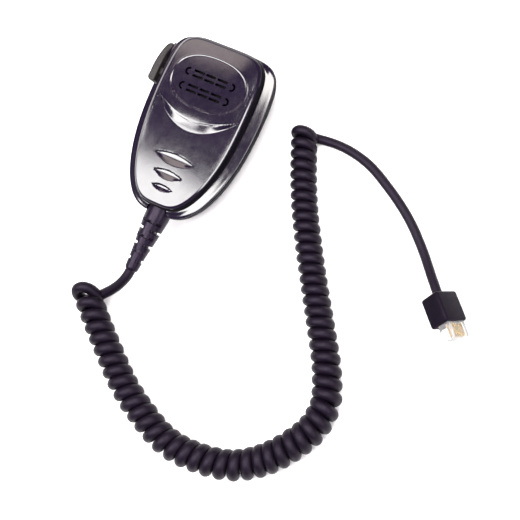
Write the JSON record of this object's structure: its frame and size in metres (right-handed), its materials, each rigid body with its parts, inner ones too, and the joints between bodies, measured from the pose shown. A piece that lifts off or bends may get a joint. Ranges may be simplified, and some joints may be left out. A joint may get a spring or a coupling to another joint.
{
  "type": "hand microphone",
  "caption": "Palm microphone of a two-way radio with slotted sound opening, push-to-talk bar, slotted strain relief, coiled cord and modular plug.",
  "frame": {"origin": "middle of the outer face of the hang-up button, on which the microphone lies", "axes": "+Z out of the front of the microphone, +Y to its wide upper end, away from the cord, +X completes the frame, so the push-to-talk bar is on -X"},
  "size_m": [0.1973, 0.197, 0.0308],
  "materials": {
    "shell": "satin, near black with a purple cast",
    "bar": "fine texture, worn grey-brown",
    "cord": "satin",
    "rubber": "satin",
    "felt": "matte",
    "steel": "satin",
    "aluminium": "satin",
    "board": "satin",
    "component": "satin",
    "clear": "clear, polished",
    "gold": "polished, gold plated",
    "red": "satin",
    "white": "satin"
  },
  "bodies": {
    "microphone": {"front_shell": "shell", "rear_shell": "shell", "ptt_pivot_pin": "steel", "ptt_switch_body": "component", "ptt_window_seal": "rubber", "ptt_return_spring": "steel", "dust_felt": "felt", "capsule_boot": "rubber", "mic_capsule": "aluminium", "circuit_board": "board", "wire_header": "white", "audio_chip": "component", "filter_capacitor": "aluminium", "case_screw_1": "steel", "case_screw_2": "steel", "case_screw_3": "steel", "case_screw_4": "steel", "clamp_screw_1": "steel", "clamp_screw_2": "steel", "hang_button": "steel", "hang_button_screw": "steel", "hang_button_washer": "steel", "cord_clamp": "component", "cord_inner_end": "cord", "wire_red": "red", "wire_white": "white", "wire_black": "component", "wire_shield": "steel", "strain_relief": "rubber", "cord_lead": "cord", "cord_coil": "cord", "cord_tail": "cord", "plug_boot": "rubber", "plug_body": "clear", "plug_crimp_bar": "clear", "plug_cable_end": "cord", "plug_contact_1": "gold", "plug_contact_2": "gold", "plug_contact_3": "gold", "plug_contact_4": "gold", "plug_contact_5": "gold", "plug_contact_6": "gold", "plug_contact_7": "gold", "plug_contact_8": "gold"},
    "push_to_talk_bar": {"ptt_bar": "bar"},
    "switch_plunger": {"ptt_switch_plunger": "white"},
    "plug_latch_tab": {"plug_latch": "clear"}
  },
  "joints": [
    {"name": "push_to_talk_hinge", "type": "hinge", "parent": "microphone", "child": "push_to_talk_bar", "pos_m": [-0.0279, 0.033, 0.0171], "axis": [0, 0, 1], "range_deg": [0, 5.5], "stiffness_Nm_per_rad": 0.3, "springref_deg": -2.86, "deforming": ["ptt_return_spring"]},
    {"name": "switch_plunger_slide", "type": "slide", "parent": "microphone", "child": "switch_plunger", "axis": [1, 0, 0], "range_m": [0, 0.0012]},
    {"name": "plug_latch_hinge", "type": "hinge", "parent": "microphone", "child": "plug_latch_tab", "pos_m": [0.15559, -0.04338, 0.00986], "axis": [0.4661, 0.3313, -0.8204], "range_deg": [0, 5], "stiffness_Nm_per_rad": 0.1}
  ],
  "couplings": [
    {"joint": "switch_plunger_slide", "follows": "push_to_talk_hinge", "m_per_rad": 0.012}
  ]
}
